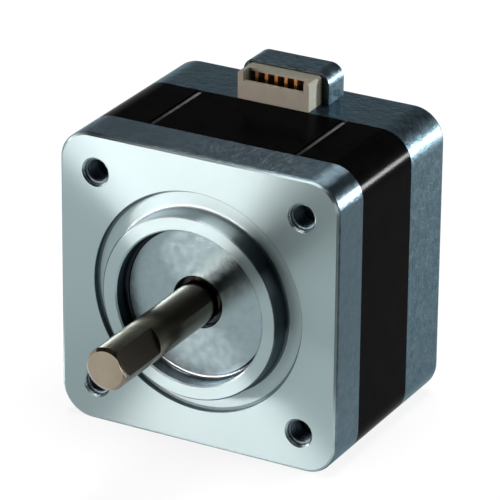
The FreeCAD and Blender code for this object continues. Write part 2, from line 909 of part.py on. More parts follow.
def make_balls(name, middle):
    """A ring of balls, one at each scallop of the cage."""
    balls = []
    for number in range(BALLS):
        angle = 90 + 360.0 / BALLS * number
        ball = doc.addObject("Part::Sphere", f"{name}_{number + 1}")
        ball.setExpression("Radius", (size.ball_diameter / 2).formula)
        ball.setExpression("Placement.Base.x", (size.ball_pitch / 2 * cosine(angle)).formula)
        ball.setExpression("Placement.Base.y", (size.ball_pitch / 2 * sine(angle)).formula)
        balls.append(ball)
    group = doc.addObject("Part::Compound", name)
    group.Label = name
    group.Links = balls
    nodes[name] = group
    place(group, along=middle)


def make_bearing(end, middle):
    make_race(f"{end}_bearing_inner_ring", size.inner_land / 2, shaft_radius + size.press_clearance, middle)
    make_race(f"{end}_bearing_outer_ring", size.outer_land / 2, size.bearing_outside / 2, middle)
    make_cage(f"{end}_bearing_cage", middle)
    make_balls(f"{end}_bearing_balls", middle)
    make_shield(f"{end}_bearing_front_shield", middle, True)
    make_shield(f"{end}_bearing_rear_shield", middle, False)


def make_wave_washer():
    """The spring washer that takes up the play behind the rear bearing."""
    swing = (size.washer_room.value - size.washer_thickness.value) / 2 - size.seat_clearance.value
    middle = rear_seat_floor.value + swing + size.seat_clearance.value
    steps = POINTS_PER_WAVE * WASHER_WAVES
    rings = []
    for radius in (size.washer_inside.value / 2, size.washer_outside.value / 2):
        points = []
        for step in range(steps):
            angle = 2.0 * math.pi * step / steps
            height = middle + swing * math.cos(WASHER_WAVES * angle)
            points.append(FreeCAD.Vector(radius * math.cos(angle), radius * math.sin(angle), height))
        curve = Part.BSplineCurve()
        curve.interpolate(points, PeriodicFlag=True)
        rings.append(curve.toShape())
    sheet = Part.makeRuledSurface(rings[0], rings[1])
    washer = doc.addObject("Part::Feature", "wave_washer")
    washer.Label = "wave_washer"
    washer.Shape = sheet.extrude(FreeCAD.Vector(0, 0, size.washer_thickness.value))
    nodes["wave_washer"] = washer
    place(washer)


# Assembly screws, connector and terminal board


def make_screw(number):
    """A screw from the rear cover into the thread behind a mounting hole."""
    body = make_body(f"assembly_screw_{number}")
    seat = cover_back + size.head_sink
    tip = flange_back + size.screw_reach
    head_outline = make_sketch(body, "head_outline", offset=seat)
    add_circle(head_outline, size.screw_head / 2, hole_offset, hole_offset)
    extrude(body, "Pad", "head", head_outline, size.screw_head_height, backwards=True)
    shank_outline = make_sketch(body, "shank_outline", offset=seat)
    add_circle(shank_outline, size.screw_thread / 2 - size.thread_clearance, hole_offset, hole_offset)
    extrude(body, "Pad", "shank", shank_outline, tip - seat)
    drive_outline = make_sketch(body, "drive_outline", offset=seat - size.screw_head_height)
    add_outline(drive_outline, cross_corners(size.drive_span / 2, size.drive_width / 2))
    extrude(body, "Pocket", "drive", drive_outline, size.drive_depth, backwards=True)
    place(body, turn=360.0 / CORNERS * (number - 1))


def cross_corners(reach, half_width):
    """The cross for the driver, at the middle of the screw's head."""
    arm = [Corner(reach, -half_width), Corner(reach, half_width), Corner(half_width, half_width)]
    return [Corner(corner.x + hole_offset, corner.y + hole_offset) for corner in quarter_turns(arm)]


def make_connector_housing():
    """A box with a low front lip, a roof that is cut back at the mouth and a deep socket between them."""
    body = make_body("connector_housing")
    half = size.connector_width / 2
    top = half_frame + size.connector_height
    outline = make_sketch(body, "housing_outline", offset=connector_front)
    add_rectangle(outline, -half, half, half_frame, top)
    extrude(body, "Pad", "housing", outline, size.connector_depth, backwards=True)

    def is_top_side(edge):
        box = edge.BoundBox
        return box.ZLength > size.connector_depth.value / 2 and box.YMin > half_frame.value + SAME

    break_edges(body, "Chamfer", "housing_edges", size.connector_edge, is_top_side)
    socket_half = size.socket_width / 2
    roof = top - size.socket_roof
    lip = half_frame + size.lip_height
    mouth = make_sketch(body, "mouth_outline", offset=connector_front)
    add_rectangle(mouth, -socket_half, socket_half, lip, roof)
    extrude(body, "Pocket", "mouth", mouth, size.socket_depth)
    notch = make_sketch(body, "mouth_notch_outline", offset=connector_front)
    add_rectangle(notch, -socket_half, socket_half, lip, top + OVERRUN)
    extrude(body, "Pocket", "mouth_notch", notch, size.mouth_notch)
    socket = make_sketch(body, "socket_outline", offset=connector_front - size.lip_thickness)
    add_rectangle(socket, -socket_half, socket_half, half_frame + size.socket_floor, roof)
    extrude(body, "Pocket", "socket", socket, size.socket_depth - size.lip_thickness)
    holes = make_sketch(body, "pin_hole_outlines", offset=connector_front - size.socket_depth)
    hole_half = size.pin_size / 2 + size.pin_clearance
    level = half_frame + size.pin_height
    for number in range(PINS):
        middle = size.pin_pitch * (number - (PINS - 1) / 2)
        add_rectangle(holes, middle - hole_half, middle + hole_half, level - hole_half, level + hole_half)
    extrude(body, "Pocket", "pin_holes", holes)
    place(body)


def make_contact_pin(number):
    """A bent pin with a flat blade in the socket and a leg down behind the housing to the board."""
    body = make_body(f"contact_pin_{number}")
    half = size.pin_size / 2
    blade_half = size.blade_height / 2
    level = half_frame + size.pin_height
    shoulder = connector_front - size.socket_depth + size.pin_clearance
    front = shoulder + size.blade_length
    leg_back = cover_inside + size.board_thickness + size.pin_clearance
    leg_front = leg_back + size.pin_size
    foot = size.board_outside / 2 - size.pin_landing
    middle = size.pin_pitch * (number - (PINS + 1) / 2)
    outline = make_sketch(body, "pin_outline", "YZ_Plane", offset=middle - half)
    add_outline(
        outline,
        [
            Corner(level - blade_half, front),
            Corner(level - blade_half, shoulder),
            Corner(level - half, shoulder),
            Corner(level - half, leg_front),
            Corner(foot, leg_front),
            Corner(foot, leg_back),
            Corner(level + half, leg_back),
            Corner(level + half, shoulder),
            Corner(level + blade_half, shoulder),
            Corner(level + blade_half, front),
        ],
    )
    extrude(body, "Pad", "pin", outline, size.pin_size)
    place(body)


def make_terminal_board():
    body = make_body("terminal_board")
    outline = make_sketch(body, "board_outline", offset=cover_inside)
    add_circle(outline, size.board_outside / 2)
    add_circle(outline, size.board_inside / 2)
    extrude(body, "Pad", "board", outline, size.board_thickness)
    place(body)


# The whole motor


def make_motor():
    make_front_flange()
    make_rear_cover()
    make_stator_core()
    make_insulator("front_insulator", False)
    make_insulator("rear_insulator", True)
    for number in range(1, POLES + 1):
        make_winding(number)
    make_rotor()
    make_bearing("front", front_bearing_middle)
    make_bearing("rear", rear_bearing_middle)
    make_wave_washer()
    for number in range(1, CORNERS + 1):
        make_screw(number)
    make_connector_housing()
    for number in range(1, PINS + 1):
        make_contact_pin(number)
    make_terminal_board()


def check_document():
    """Stops on a failed object, a cut that removes nothing or a shape that isn't a sound solid."""
    for item in doc.Objects:
        if "Invalid" in item.State or "Error" in item.State:
            raise RuntimeError(f"{item.Label} failed: {item.State}")
        if item.TypeId in ("PartDesign::Pocket", "PartDesign::Groove"):
            if item.Shape.Volume >= item.BaseFeature.Shape.Volume - SAME:
                raise RuntimeError(f"{item.Label} cuts nothing")
    for name, piece in nodes.items():
        if piece.Shape.isNull() or not piece.Shape.isValid() or not piece.Shape.Solids:
            raise RuntimeError(f"{name} has no sound solid")


def write_parts():
    os.makedirs("parts", exist_ok=True)
    for name, piece in nodes.items():
        piece.Shape.exportStep(f"parts/{name}.step")


make_motor()
doc.recompute()
check_document()
write_parts()
print(f"{len(nodes)} pieces written")
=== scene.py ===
"""Looks of the small square-frame stepper motor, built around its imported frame.

Lengths are in metres. The mounting face is the XZ plane at y = 0, the shaft points to -Y and up is +Z.
"""
import json
import math

import bmesh
import bpy
from mathutils import Matrix, Vector


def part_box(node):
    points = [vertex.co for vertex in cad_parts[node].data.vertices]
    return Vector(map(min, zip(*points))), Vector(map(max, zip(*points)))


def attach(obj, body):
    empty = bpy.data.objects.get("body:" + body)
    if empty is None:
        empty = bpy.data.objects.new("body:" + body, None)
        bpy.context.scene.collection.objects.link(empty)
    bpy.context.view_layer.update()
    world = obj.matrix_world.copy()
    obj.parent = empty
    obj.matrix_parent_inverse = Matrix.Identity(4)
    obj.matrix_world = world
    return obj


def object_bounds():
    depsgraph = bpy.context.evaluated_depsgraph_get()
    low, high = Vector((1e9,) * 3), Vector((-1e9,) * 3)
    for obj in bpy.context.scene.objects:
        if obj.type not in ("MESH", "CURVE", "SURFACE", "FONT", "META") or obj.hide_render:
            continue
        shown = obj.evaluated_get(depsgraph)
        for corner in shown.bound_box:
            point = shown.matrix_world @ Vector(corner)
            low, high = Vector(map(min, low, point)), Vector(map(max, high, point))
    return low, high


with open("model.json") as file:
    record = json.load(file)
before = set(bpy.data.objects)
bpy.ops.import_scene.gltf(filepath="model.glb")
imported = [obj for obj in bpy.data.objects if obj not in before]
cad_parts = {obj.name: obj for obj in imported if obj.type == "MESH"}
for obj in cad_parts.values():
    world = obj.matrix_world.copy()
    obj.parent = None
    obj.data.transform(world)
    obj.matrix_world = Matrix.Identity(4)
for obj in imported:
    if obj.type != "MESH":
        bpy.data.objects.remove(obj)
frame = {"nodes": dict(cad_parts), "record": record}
cad_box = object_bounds()

MM = 0.001
nodes = frame["nodes"]


def linear(red, green, blue):
    """A colour written in screen values from 0 to 255, as the shader wants it."""
    shares = [value / 255.0 for value in (red, green, blue)]
    return tuple(s / 12.92 if s <= 0.04045 else ((s + 0.055) / 1.055) ** 2.4 for s in shares) + (1.0,)


# A small builder for procedural surfaces

# Places of the colour sockets on a Mix node, which has others for numbers and vectors
MIX_FIRST = 6
MIX_SECOND = 7
MIX_RESULT = 2


class Surface:
    """A material with one Principled shader and short calls for the nodes that feed it."""

    def __init__(self, name, metallic=0.0, **settings):
        self.material = bpy.data.materials.new(name)
        self.material.use_nodes = True
        self.tree = self.material.node_tree
        self.shader = self.tree.nodes["Principled BSDF"]
        self.shader.inputs["Metallic"].default_value = metallic
        for socket, value in settings.items():
            self.shader.inputs[socket.replace("_", " ")].default_value = value
        self.place = self.node("ShaderNodeTexCoord").outputs["Object"]

    def node(self, kind, **settings):
        made = self.tree.nodes.new(kind)
        for name, value in settings.items():
            setattr(made, name, value)
        return made

    def feed(self, socket, source):
        if hasattr(source, "links"):
            self.tree.links.new(source, socket)
        else:
            socket.default_value = source

    def stretch(self, scale):
        """The place on the object, scaled differently along each axis."""
        mapping = self.node("ShaderNodeMapping")
        self.feed(mapping.inputs["Vector"], self.place)
        mapping.inputs["Scale"].default_value = scale
        return mapping.outputs["Vector"]

    def noise(self, size, detail=4.0, roughness=0.55, where=None):
        """Cloudy noise whose blotches are about that size."""
        texture = self.node("ShaderNodeTexNoise")
        self.feed(texture.inputs["Vector"], where or self.place)
        texture.inputs["Scale"].default_value = 1.0 / size
        texture.inputs["Detail"].default_value = detail
        texture.inputs["Roughness"].default_value = roughness
        return texture.outputs["Fac"]

    def rings(self, spacing):
        """Fine lines round the shaft's axis, as a turning tool leaves them."""
        texture = self.node("ShaderNodeTexNoise", noise_dimensions="1D")
        self.feed(texture.inputs["W"], self.math("MULTIPLY", self.radius(), 1.0 / spacing))
        texture.inputs["Detail"].default_value = 3.0
        return texture.outputs["Fac"]

    def math(self, operation, first, second=0.0):
        made = self.node("ShaderNodeMath", operation=operation)
        self.feed(made.inputs[0], first)
        self.feed(made.inputs[1], second)
        return made.outputs["Value"]

    def axes(self):
        """The three coordinates of the place on the object."""
        parts = self.node("ShaderNodeSeparateXYZ")
        self.feed(parts.inputs["Vector"], self.place)
        return parts.outputs["X"], parts.outputs["Y"], parts.outputs["Z"]

    def radius(self):
        """Distance from the shaft's axis."""
        x, _, z = self.axes()
        squares = self.math("ADD", self.math("MULTIPLY", x, x), self.math("MULTIPLY", z, z))
        return self.math("SQRT", squares)

    def waves(self, value, length):
        """Swings between -1 and 1, once for each such length that the value covers."""
        return self.math("SINE", self.math("MULTIPLY", value, 2.0 * math.pi / length))

    def between(self, value, low, high):
        """One where the value lies between the two, and zero elsewhere."""
        above = self.math("GREATER_THAN", value, low)
        return self.math("MULTIPLY", above, self.math("LESS_THAN", value, high))

    def spread(self, factor, low, high, start=0.0, end=1.0):
        """Carries a factor from its own range to another."""
        made = self.node("ShaderNodeMapRange")
        self.feed(made.inputs["Value"], factor)
        made.inputs["From Min"].default_value = start
        made.inputs["From Max"].default_value = end
        self.feed(made.inputs["To Min"], low)
        self.feed(made.inputs["To Max"], high)
        return made.outputs["Result"]

    def blend(self, factor, first, second):
        """A colour between two others."""
        made = self.node("ShaderNodeMix", data_type="RGBA")
        self.feed(made.inputs["Factor"], factor)
        self.feed(made.inputs[MIX_FIRST], first)
        self.feed(made.inputs[MIX_SECOND], second)
        return made.outputs[MIX_RESULT]

    def colour(self, source):
        self.feed(self.shader.inputs["Base Color"], source)

    def roughness(self, source):
        self.feed(self.shader.inputs["Roughness"], source)

    def bump(self, height, depth, strength=1.0):
        """Raises the surface by the height, whose full range is that depth."""
        made = self.node("ShaderNodeBump")
        made.inputs["Strength"].default_value = strength
        made.inputs["Distance"].default_value = depth
        self.feed(made.inputs["Height"], height)
        self.feed(self.shader.inputs["Normal"], made.outputs["Normal"])

    def turned(self):
        """Runs the shader's grain round the shaft's axis."""
        grain = self.node("ShaderNodeTangent", direction_type="RADIAL", axis="Y")
        self.feed(self.shader.inputs["Tangent"], grain.outputs["Tangent"])


# Materials, one for each slot of the record

# A quarter of a turn, so that the wide side of the sheen lies across the grain
ACROSS_THE_GRAIN = 0.25

# What a casting turns to where it is seen at a glancing angle
EDGE_BLUE = (0.72, 0.9, 1.0, 1.0)

# The flange: depth of its machined face, radius inside which the hole is painted dark as painted shade,
# and radii of its round walls, which are painted dark as painted shade
FACE_REACH = 0.2 * MM
SHAFT_HOLE = 3.15 * MM
RECESS_WALL = (8.7 * MM, 9.22 * MM)
PILOT_WALL = (10.85 * MM, 11.35 * MM)
GROOVE_WALL = (12.85 * MM, 13.25 * MM)

# Heights between which the painted shade on the recess wall turns to a painted highlight downwards, and on
# the pilot's wall upwards
RECESS_FOOT = (-9.0 * MM, -6.5 * MM)
PILOT_CROWN = (6.5 * MM, 10.5 * MM)

# A cast skin: size of its blotches and of its grit, and how deep and strong they are
CAST_BLOTCH = 0.9 * MM
CAST_GRIT = 0.25 * MM
CAST_DEPTH = 0.08 * MM
CAST_STRENGTH = 0.7

# Pitch of the sheets in the stack, of the wire in the coils and of the turned rings on the face
SHEET_PITCH = 0.5 * MM
WIRE_PITCH = 0.3 * MM
RING_PITCH = 0.12 * MM

# The shaft's flat: its turn from the side, distance from the axis and rear end
FLAT_TURN = math.radians(24.0)
FLAT_DISTANCE = 2.0 * MM
FLAT_END = -12.4 * MM
SHAFT_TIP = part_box("shaft")[0].y

# How near a place has to be to count as on the flat or on the tip
FLAT_MARGIN = 0.03 * MM
TIP_MARGIN = 0.02 * MM

# Scale of ground streaks along x, y and z: long across the axis, fine along it
DRAWN_OUT = (0.15, 1.0, 0.15)


def cast_skin(surface):
    """The blotches of a casting, and their height with fine grit on top."""
    blotch = surface.spread(surface.noise(CAST_BLOTCH, 6.0, 0.6), 0.0, 1.0, 0.15, 0.85)
    grit = surface.math("MULTIPLY", surface.noise(CAST_GRIT, 3.0), 0.4)
    return blotch, surface.math("ADD", blotch, grit)


def flange_metal():
    """Aluminium: turned on the face and cast on the sides, with painted shade on the ring's walls and in
    the hole, and painted highlights at the foot of the recess wall and the top of the pilot's wall.
    """
    surface = Surface(
        "flange_metal",
        metallic=1.0,
        Anisotropic=1.0,
        Anisotropic_Rotation=ACROSS_THE_GRAIN,
        Specular_Tint=EDGE_BLUE,
    )
    surface.turned()
    _, y, z = surface.axes()
    radius = surface.radius()
    rings = surface.rings(RING_PITCH)
    cast, cast_height = cast_skin(surface)
    front = surface.math("LESS_THAN", y, FACE_REACH)
    machined = surface.math("MAXIMUM", front, surface.math("LESS_THAN", radius, GROOVE_WALL[1]))
    recess = surface.math("LESS_THAN", radius, RECESS_WALL[1])
    pilot_wall = surface.between(radius, *PILOT_WALL)
    recess_wall = surface.between(radius, *RECESS_WALL)
    groove_wall = surface.between(radius, *GROOVE_WALL)
    hole = surface.math("LESS_THAN", radius, SHAFT_HOLE)
    # Shares of painted highlight: at the foot of the recess wall and at the top of the pilot's wall
    painted_foot_light = surface.spread(z, 1.0, 0.0, *RECESS_FOOT)
    painted_crown_light = surface.spread(z, 0.0, 1.0, *PILOT_CROWN)
    bright = surface.blend(rings, linear(138, 157, 159), linear(160, 178, 180))
    worn = surface.blend(cast, linear(120, 139, 143), linear(141, 158, 162))
    dull = surface.blend(cast, linear(68, 81, 89), linear(108, 126, 135))
    colour = surface.blend(machined, dull, bright)
    # Painted shade on the pilot's, groove's and recess's walls and in the hole, with the painted
    # highlights above; the recess floor keeps its cast tone
    for place, shade in (
        (pilot_wall, surface.blend(painted_crown_light, linear(66, 75, 79), linear(150, 163, 165))),
        (groove_wall, linear(96, 111, 114)),
        (recess, worn),
        (recess_wall, surface.blend(painted_foot_light, linear(28, 31, 33), linear(132, 142, 146))),
        (hole, linear(20, 22, 24)),
    ):
        colour = surface.blend(place, colour, shade)
    surface.colour(colour)
    rough_front = surface.spread(rings, 0.26, 0.36)
    rough_side = surface.spread(cast, 0.28, 0.44)
    rough_recess = surface.spread(cast, 0.14, 0.26)
    rough_outside = surface.spread(machined, rough_side, rough_front)
    surface.roughness(surface.spread(recess, rough_outside, rough_recess))
    turned_height = surface.math("MULTIPLY", rings, 0.05)
    surface.bump(surface.spread(machined, cast_height, turned_height), CAST_DEPTH, CAST_STRENGTH)
    return surface.material


def cover_metal():
    """Cast aluminium with a blasted skin, painted darker than the flange's cast sides as painted shade."""
    surface = Surface("cover_metal", metallic=1.0, Specular_Tint=EDGE_BLUE)
    cast, cast_height = cast_skin(surface)
    surface.colour(surface.blend(cast, linear(37, 45, 50), linear(70, 82, 88)))
    surface.roughness(surface.spread(cast, 0.28, 0.44))
    surface.bump(cast_height, CAST_DEPTH, CAST_STRENGTH)
    return surface.material


def lamination():
    """Black coated sheets, seen edge on."""
    surface = Surface("lamination", Specular_IOR_Level=0.004)
    _, y, _ = surface.axes()
    sheets = surface.waves(y, SHEET_PITCH)
    stain = surface.noise(2.5 * MM, 5.0)
    surface.colour(surface.blend(stain, linear(2, 2, 3), linear(7, 7, 7)))
    surface.roughness(surface.spread(stain, 0.15, 0.21))
    surface.bump(sheets, 0.003 * MM, 0.5)
    return surface.material


def moulded(name, dark, light, rough=0.45):
    """Moulded plastic with a fine skin."""
    surface = Surface(name)
    cloud = surface.noise(1.6 * MM, 4.0)
    grain = surface.noise(0.12 * MM, 2.0)
    surface.colour(surface.blend(cloud, dark, light))
    surface.roughness(surface.spread(grain, rough - 0.06, rough + 0.08))
    surface.bump(grain, 0.012 * MM, 0.6)
    return surface.material


def insulator():
    return moulded("insulator", linear(206, 202, 188), linear(226, 222, 210))


def connector():
    return moulded("connector", linear(98, 98, 86), linear(119, 118, 104))


def board():
    return moulded("board", linear(22, 66, 38), linear(34, 88, 50), 0.35)


def winding():
    """Enamelled copper wire in close turns."""
    surface = Surface("winding", metallic=1.0)
    turns = surface.waves(surface.radius(), WIRE_PITCH)
    tint = surface.noise(0.8 * MM, 3.0)
    surface.colour(surface.blend(tint, linear(150, 78, 40), linear(196, 112, 62)))
    surface.roughness(surface.spread(tint, 0.25, 0.4))
    surface.bump(turns, 0.08 * MM, 0.9)
    return surface.material


def ground_surface(name, grain_size):
    """Bare metal whose grain runs round the shaft's axis, with its fine streaks and its broad clouds."""
    surface = Surface(name, metallic=1.0, Anisotropic=0.4, Anisotropic_Rotation=ACROSS_THE_GRAIN)
    surface.turned()
    streak = surface.noise(grain_size, 4.0, 0.6, surface.stretch(DRAWN_OUT))
    cloud = surface.noise(3.0 * MM, 3.0)
    return surface, streak, cloud


def steel(name, dark, light, rough, grain_size):
    """Ground steel, the same all over."""
    surface, streak, cloud = ground_surface(name, grain_size)
    surface.colour(surface.blend(cloud, dark, light))
    surface.roughness(surface.spread(streak, rough - 0.06, rough + 0.08))
    surface.bump(streak, 0.01 * MM, 0.5)
    return surface.material


def shaft_steel():
    """Ground steel, with the milled flat painted dark as a painted dark reflection, and a lighter end
    face.
    """
    surface, streak, cloud = ground_surface("shaft_steel", 0.15 * MM)
    x, y, z = surface.axes()
    across = surface.math("MULTIPLY", x, math.cos(FLAT_TURN))
    outwards = surface.math("ADD", across, surface.math("MULTIPLY", z, math.sin(FLAT_TURN)))
    on_flat = surface.between(outwards, FLAT_DISTANCE - FLAT_MARGIN, FLAT_DISTANCE + FLAT_MARGIN)
    flat = surface.math("MULTIPLY", on_flat, surface.math("LESS_THAN", y, FLAT_END))
    end_face = surface.math("LESS_THAN", y, SHAFT_TIP + TIP_MARGIN)
    ground = surface.blend(cloud, linear(106, 99, 86), linear(136, 128, 113))
    faced = surface.blend(cloud, linear(130, 121, 104), linear(160, 150, 133))
    # The flat is painted dark: a painted reflection of a dark surround
    painted_dark_flat = surface.blend(streak, linear(34, 31, 27), linear(56, 52, 46))
    surface.colour(surface.blend(end_face, surface.blend(flat, ground, painted_dark_flat), faced))
    surface.roughness(surface.spread(flat, surface.spread(streak, 0.1, 0.24), 0.3))
    surface.bump(streak, 0.003 * MM, 0.5)
    return surface.material


def rotor_iron():
    return steel("rotor_iron", linear(84, 84, 86), linear(120, 120, 122), 0.4, 0.3 * MM)


def magnet():
    return steel("magnet", linear(70, 70, 72), linear(98, 98, 100), 0.5, 0.5 * MM)


def spacer():
    return steel("spacer", linear(180, 182, 184), linear(205, 206, 208), 0.3, 0.2 * MM)


# Painted dark: painted shade on the bearing, which is seen deep inside the flange's hole
def bearing_steel():
    return steel("bearing_steel", linear(40, 40, 42), linear(60, 60, 62), 0.2, 0.2 * MM)


def cage():
    return steel("cage", linear(160, 140, 84), linear(196, 176, 120), 0.3, 0.2 * MM)


def shield():
    return steel("shield", linear(150, 152, 156), linear(186, 188, 192), 0.28, 0.2 * MM)


def spring_steel():
    return steel("spring_steel", linear(104, 106, 112), linear(140, 142, 148), 0.3, 0.2 * MM)


def plated(name, dark, light, rough):
    """Bright plating with faint blotches and fine scratches."""
    surface = Surface(name, metallic=1.0)
    cloud = surface.noise(0.9 * MM, 4.0)
    scratch = surface.noise(0.05 * MM, 2.0, 0.5, surface.stretch((1.0, 0.1, 0.4)))
    surface.colour(surface.blend(cloud, dark, light))
    surface.roughness(surface.spread(scratch, rough - 0.06, rough + 0.1))
    surface.bump(scratch, 0.006 * MM, 0.5)
    return surface.material


def screw_steel():
    return plated("screw_steel", linear(132, 134, 136), linear(176, 178, 180), 0.3)


def contact():
    return plated("contact", linear(176, 120, 70), linear(212, 160, 104), 0.28)


MAKERS = (
    flange_metal, cover_metal, lamination, insulator, winding, shaft_steel, rotor_iron, magnet, spacer,
    bearing_steel, cage, shield, spring_steel, screw_steel, connector, contact, board,
)
materials = {maker.__name__: maker() for maker in MAKERS}

for subpart in frame["record"]["subparts"]:
    mesh = nodes[subpart["node"]].data
    mesh.materials.clear()
    mesh.materials.append(materials[subpart["material_slot"]])


# Pieces that the solids leave out: weld beads along the stack and threads in the mounting holes


def swept_piece(name, rings, material):
    """A closed skin over a row of rings, each with the same number of points, riding on the housing."""
    skin = bmesh.new()
    rows = [[skin.verts.new(point) for point in ring] for ring in rings]
    around = len(rows[0])
    for row, following in zip(rows, rows[1:]):
        for place in range(around):
            beside = (place + 1) % around
            skin.faces.new((row[place], row[beside], following[beside], following[place]))
    skin.faces.new(list(reversed(rows[0])))
    skin.faces.new(rows[-1])
    bmesh.ops.recalc_face_normals(skin, faces=skin.faces)
    for face in skin.faces:
        face.smooth = True
    mesh = bpy.data.meshes.new(name)
    skin.to_mesh(mesh)
    skin.free()
    mesh.materials.append(material)
    piece = bpy.data.objects.new(name, mesh)
    bpy.context.scene.collection.objects.link(piece)
    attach(piece, "housing")


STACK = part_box("stator_core")
SEAM_OFFSET = 9.2 * MM
SEAM_DEPTH = 0.3 * MM
BEAD_WIDTH = 0.7 * MM
BEAD_HEIGHT = 0.26 * MM
BEAD_STEP = 0.1 * MM
BEAD_POINTS = 9
BEAD_TAPER = 0.5 * MM
BEAD_END = 0.1 * MM
RIPPLE_LENGTH = 0.5 * MM
RIPPLE_DEPTH = 0.12
RIPPLE_LAG = 0.35


def weld_metal():
    """Bare weld metal, with painted shade towards the flange and a painted highlight towards the cover."""
    surface = Surface("weld_metal", metallic=1.0)
    _, y, _ = surface.axes()
    tint = surface.noise(0.9 * MM, 4.0)
    highlit_bead = surface.blend(tint, linear(88, 88, 88), linear(132, 131, 129))
    # Painted shade towards the flange, giving way to a painted highlight towards the cover
    along = surface.spread(y, 0.0, 1.0, STACK[0].y, STACK[1].y)
    surface.colour(surface.blend(along, linear(22, 22, 23), highlit_bead))
    surface.roughness(surface.spread(tint, 0.32, 0.55))
    surface.bump(surface.noise(0.2 * MM, 3.0), 0.03 * MM, 0.6)
    return surface.material


def weld_bead(name, side, level, material):
    """A rippled bead that fills a seam notch of the stack, on its top (level 1) or underneath (-1)."""
    start = STACK[0].y
    length = STACK[1].y - start
    steps = round(length / BEAD_STEP)
    rings = []
    for step in range(steps + 1):
        along = length * step / steps
        end_share = min(1.0, (min(along, length - along) + BEAD_END) / BEAD_TAPER)
        ring = []
        for point in range(BEAD_POINTS):
            turn = math.pi * point / (BEAD_POINTS - 1)
            lag = RIPPLE_LAG * RIPPLE_LENGTH * math.cos(turn) ** 2
            wave = math.cos(2.0 * math.pi * (along + lag) / RIPPLE_LENGTH)
            ripple = 1.0 - RIPPLE_DEPTH + RIPPLE_DEPTH * wave
            across = 0.5 * BEAD_WIDTH * math.cos(turn)
            up = BEAD_HEIGHT * end_share * ripple * math.sin(turn)
            height = level * (STACK[1].z - SEAM_DEPTH + up)
            ring.append((side * SEAM_OFFSET + across, start + along, height))
        rings.append(ring)
    swept_piece(name, rings, material)


HOLE_OFFSET = 13.0 * MM
THREAD_ROOT = 1.52 * MM
THREAD_CREST = 1.26 * MM
THREAD_PITCH = 0.5 * MM
THREAD_START = 0.35 * MM
THREAD_TURNS = 5.5
THREAD_STEPS_PER_TURN = 28
THREAD_FADE_TURNS = 0.5
THREAD_END_WIDTH = 0.3

# Corners of the ridge: share of its height, and place along the axis as a share of the pitch
THREAD_PROFILE = ((0.0, -0.44), (1.0, -0.08), (1.0, 0.08), (0.0, 0.44))


def thread_ridge(name, side, level):
    """The ridge of a mounting thread, a helix that fades out at both ends."""
    steps = round(THREAD_TURNS * THREAD_STEPS_PER_TURN)
    fade_steps = THREAD_FADE_TURNS * THREAD_STEPS_PER_TURN
    rings = []
    for step in range(steps + 1):
        turns = step / THREAD_STEPS_PER_TURN
        turn = 2.0 * math.pi * turns
        end_share = min(1.0, min(step, steps - step) / fade_steps)
        width = THREAD_END_WIDTH + (1.0 - THREAD_END_WIDTH) * end_share
        ring = []
        for height, along in THREAD_PROFILE:
            radius = THREAD_ROOT - (THREAD_ROOT - THREAD_CREST) * height * end_share
            depth = THREAD_START + THREAD_PITCH * (turns + along * width)
            x = side * HOLE_OFFSET + radius * math.cos(turn)
            z = level * HOLE_OFFSET + radius * math.sin(turn)
            ring.append((x, depth, z))
        rings.append(ring)
    swept_piece(name, rings, materials["flange_metal"])


bead_metal = weld_metal()
for side, side_name in ((-1, "left"), (1, "right")):
    for level, level_name in ((-1, "lower"), (1, "upper")):
        weld_bead(f"weld_bead_{level_name}_{side_name}", side, level, bead_metal)
        thread_ridge(f"thread_{level_name}_{side_name}", side, level)


# Stage: floor, dark cards, lamps and camera

FLOOR_LEVEL = cad_box[0].z
FLOOR_HALF = 6.0
CEILING_HEIGHT = 0.9
CEILING_HALF = 2.4
CARD_DISTANCE = 0.9
CARD_HEIGHT = 0.9
CARD_START = math.radians(-5.0)
CARD_END = math.radians(85.0)
CARD_PANELS = 8
TABLE_START = math.radians(40.0)
TABLE_END = math.radians(85.0)
TABLE_NEAR = 0.035
TABLE_LIFT = 0.5 * MM
PAPER_WHITE = (0.95, 0.95, 0.95, 1.0)
PAPER_GLOW = 0.85
WORLD_FILL = 0.8
WORLD_SEEN = 1.0
WARM_WHITE = (1.0, 0.86, 0.84)


def stage_sheet(name, points, faces, material):
    mesh = bpy.data.meshes.new(name)
    mesh.from_pydata(points, [], faces)
    mesh.materials.append(material)
    sheet = bpy.data.objects.new(name, mesh)
    bpy.context.scene.collection.objects.link(sheet)
    return sheet


def square_points(half, height):
    return [(x * half, y * half, height) for x, y in ((-1, -1), (1, -1), (1, 1), (-1, 1))]


def seen_directly(tree):
    """One for rays of the camera, a reflection or a clear material, and zero for diffuse light."""
    path = tree.nodes.new("ShaderNodeLightPath")
    share = path.outputs["Is Camera Ray"]
    for kind in ("Is Glossy Ray", "Is Transmission Ray"):
        either = tree.nodes.new("ShaderNodeMath")
        either.operation = "MAXIMUM"
        tree.links.new(share, either.inputs[0])
        tree.links.new(path.outputs[kind], either.inputs[1])
        share = either.outputs["Value"]
    return share


def floor_paper():
    """White to the eye and in reflections, and still dimmed by the motor's soft shadow."""
    material = bpy.data.materials.new("floor_paper")
    material.use_nodes = True
    tree = material.node_tree
    tree.nodes.clear()
    paper = tree.nodes.new("ShaderNodeBsdfDiffuse")
    paper.inputs["Color"].default_value = PAPER_WHITE
    glow = tree.nodes.new("ShaderNodeEmission")
    mix = tree.nodes.new("ShaderNodeMixShader")
    scale = tree.nodes.new("ShaderNodeMath")
    scale.operation = "MULTIPLY"
    scale.inputs[1].default_value = PAPER_GLOW
    tree.links.new(seen_directly(tree), scale.inputs[0])
    tree.links.new(scale.outputs[0], mix.inputs["Fac"])
    tree.links.new(paper.outputs["BSDF"], mix.inputs[1])
    tree.links.new(glow.outputs["Emission"], mix.inputs[2])
    out = tree.nodes.new("ShaderNodeOutputMaterial")
    tree.links.new(mix.outputs["Shader"], out.inputs["Surface"])
    return material


